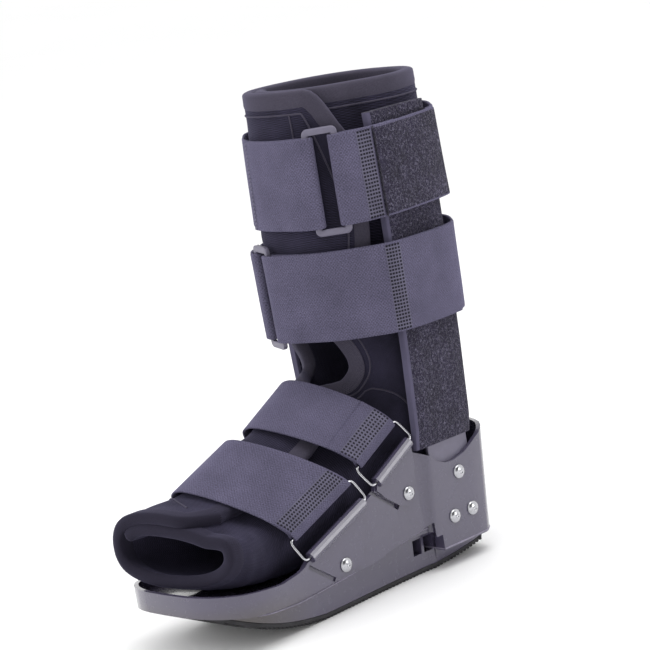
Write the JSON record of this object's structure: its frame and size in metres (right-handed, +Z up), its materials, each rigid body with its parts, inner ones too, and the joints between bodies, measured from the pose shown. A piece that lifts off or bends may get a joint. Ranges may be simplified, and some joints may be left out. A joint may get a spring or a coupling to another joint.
{
  "type": "medical walking boot",
  "caption": "Short rigid-base walking boot: moulded rocker base with riveted uprights, padded open-toe wrap liner and hook-and-loop straps.",
  "frame": {"origin": "on the flat of the sole's tread, on the middle plane, under the arch: the tread is flat round it", "axes": "+Z up, -Y towards the toe, +Y towards the heel, +X to the outer side of a left foot"},
  "size_m": [0.1325, 0.2801, 0.336],
  "materials": {
    "outsole": "matt black tread rubber",
    "shell": "glossy dark grey moulded plastic",
    "liner": "black brushed loop fabric over foam",
    "pile": "dark charcoal pile",
    "webbing": "grey woven webbing with a brushed face",
    "stay": "satin grey strip",
    "buckle": "satin grey moulded plastic",
    "metal": "bright nickel plate"
  },
  "bodies": {
    "root": {"outsole": "outsole", "shell": "shell", "liner": "liner", "stay_lateral": "stay", "sleeve_lateral": "pile", "wire_loop_front_lateral": "metal", "wire_loop_rear_lateral": "metal", "rivet_ear_front_lateral": "metal", "rivet_ear_rear_lateral": "metal", "rivet_stay_top_lateral": "metal", "rivet_stay_front_lateral": "metal", "rivet_stay_back_lateral": "metal", "stay_medial": "stay", "sleeve_medial": "pile", "wire_loop_front_medial": "metal", "wire_loop_rear_medial": "metal", "rivet_ear_front_medial": "metal", "rivet_ear_rear_medial": "metal", "rivet_stay_top_medial": "metal", "rivet_stay_front_medial": "metal", "rivet_stay_back_medial": "metal", "foot_strap_front": "webbing", "foot_strap_rear": "webbing", "leg_strap_lower": "webbing", "leg_strap_upper": "webbing", "leg_strap_upper_tab": "webbing", "pile_patch": "pile", "buckle_lower": "buckle", "buckle_upper": "buckle"}
  },
  "joints": []
}
